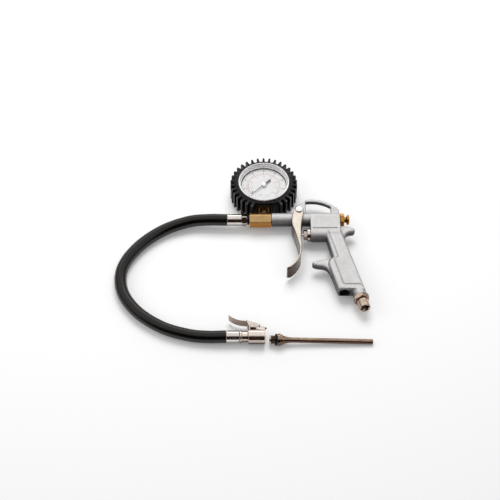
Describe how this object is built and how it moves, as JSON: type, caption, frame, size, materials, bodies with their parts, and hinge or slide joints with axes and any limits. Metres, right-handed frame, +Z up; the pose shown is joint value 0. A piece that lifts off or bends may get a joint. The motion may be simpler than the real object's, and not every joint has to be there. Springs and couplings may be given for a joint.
{
  "type": "tire inflator",
  "caption": "Trigger air gun lying flat, with a rubber-booted dial gauge, a short hose to a clip-on lever chuck, a push button and a loose blow nozzle.",
  "frame": {"origin": "centre of the gauge boot's back, on the surface that the inflator lies on", "axes": "+Z up through the gauge's face, +X along the barrel to the gun's rear, +Y from the handle up to the gauge"},
  "size_m": [0.2969, 0.2665, 0.0295],
  "materials": {
    "cast_aluminium": "satin",
    "nickel_plate": "polished",
    "brass": "satin",
    "spring_steel": "satin",
    "black_rubber": "satin",
    "bright_steel": "polished",
    "painted_dial": "matte",
    "black_paint": "satin",
    "clear_lens": "polished"
  },
  "bodies": {
    "gun": {"gun_body": "cast_aluminium", "trigger_pin": "nickel_plate", "trigger_pin_clip": "spring_steel", "valve_gland": "nickel_plate", "gland_packing": "black_rubber", "valve_seat": "brass", "deflate_gland": "brass", "inlet_connector": "nickel_plate", "inlet_seal": "black_rubber", "gauge_boot": "black_rubber", "gauge_case": "black_paint", "bezel_ring": "bright_steel", "gauge_lens": "clear_lens", "dial_plate": "painted_dial", "dial_screw_left": "bright_steel", "dial_screw_right": "bright_steel", "gauge_socket": "brass", "bourdon_tube": "brass", "movement_back_plate": "brass", "movement_front_plate": "brass", "hairspring": "brass", "tee_block": "brass", "hose_stem_gun": "bright_steel", "hose_stem_seal": "black_rubber", "hose_ferrule_gun": "bright_steel", "hose": "black_rubber", "hose_ferrule_chuck": "bright_steel", "chuck_stem": "nickel_plate", "chuck_body": "nickel_plate", "chuck_lug_pad": "black_rubber", "chuck_seal": "black_rubber", "chuck_depressor": "brass", "chuck_lever_rivet": "nickel_plate", "chuck_lever_spring": "spring_steel"},
    "trigger": {"trigger": "nickel_plate"},
    "valve": {"valve_stem": "nickel_plate", "valve_poppet": "black_rubber", "valve_spring": "spring_steel"},
    "button": {"deflate_button": "brass", "deflate_seal": "black_rubber", "deflate_spring": "spring_steel"},
    "sector": {"sector_gear": "brass"},
    "link": {"movement_link": "brass"},
    "pointer": {"pointer": "black_paint", "pointer_arbor": "brass"},
    "lever": {"chuck_lever": "nickel_plate"},
    "nozzle": {"nozzle_tube": "nickel_plate", "nozzle_seal": "black_rubber"}
  },
  "joints": [
    {"name": "trigger_pull", "type": "hinge", "parent": "gun", "child": "trigger", "pos_m": [0.0423, -0.041, 0.0135], "axis": [0, 0, 1], "range_deg": [0, 9.25], "stiffness_Nm_per_rad": 1.5, "springref_deg": -2.86},
    {"name": "valve_travel", "type": "slide", "parent": "gun", "child": "valve", "axis": [1, 0, 0], "range_m": [0, 0.00505], "deforming": ["valve_spring"]},
    {"name": "button_press", "type": "slide", "parent": "gun", "child": "button", "axis": [-1, 0, 0], "range_m": [0, 0.0025], "stiffness_N_per_m": 800, "springref_m": -0.001, "deforming": ["deflate_spring"]},
    {"name": "sector_swing", "type": "hinge", "parent": "gun", "child": "sector", "pos_m": [0, -0.011, 0.0122], "axis": [0, 0, 1], "range_deg": [0, 38.57], "stiffness_Nm_per_rad": 0.002, "springref_deg": -5.73},
    {"name": "link_swing", "type": "hinge", "parent": "sector", "child": "link", "pos_m": [-0.00078, -0.01543, 0.0151], "axis": [0, 0, 1], "range_deg": [-38.6, 0]},
    {"name": "pointer_turn", "type": "hinge", "parent": "gun", "child": "pointer", "pos_m": [0, 0, 0.023], "axis": [0, 0, 1], "range_deg": [-270.1, 0]},
    {"name": "lever_press", "type": "hinge", "parent": "gun", "child": "lever", "pos_m": [-0.0141, -0.205, 0.0086], "axis": [0, 0, 1], "range_deg": [0, 25], "stiffness_Nm_per_rad": 0.5, "springref_deg": -8.59},
    {"name": "nozzle_lift", "type": "slide", "parent": "gun", "child": "nozzle", "axis": [0, 0, 1], "range_m": [0, 0.06]}
  ],
  "couplings": [
    {"joint": "valve_travel", "follows": "trigger_pull", "m_per_rad": 0.031},
    {"joint": "pointer_turn", "follows": "sector_swing", "ratio": -7},
    {"joint": "link_swing", "follows": "sector_swing", "ratio": -1}
  ]
}
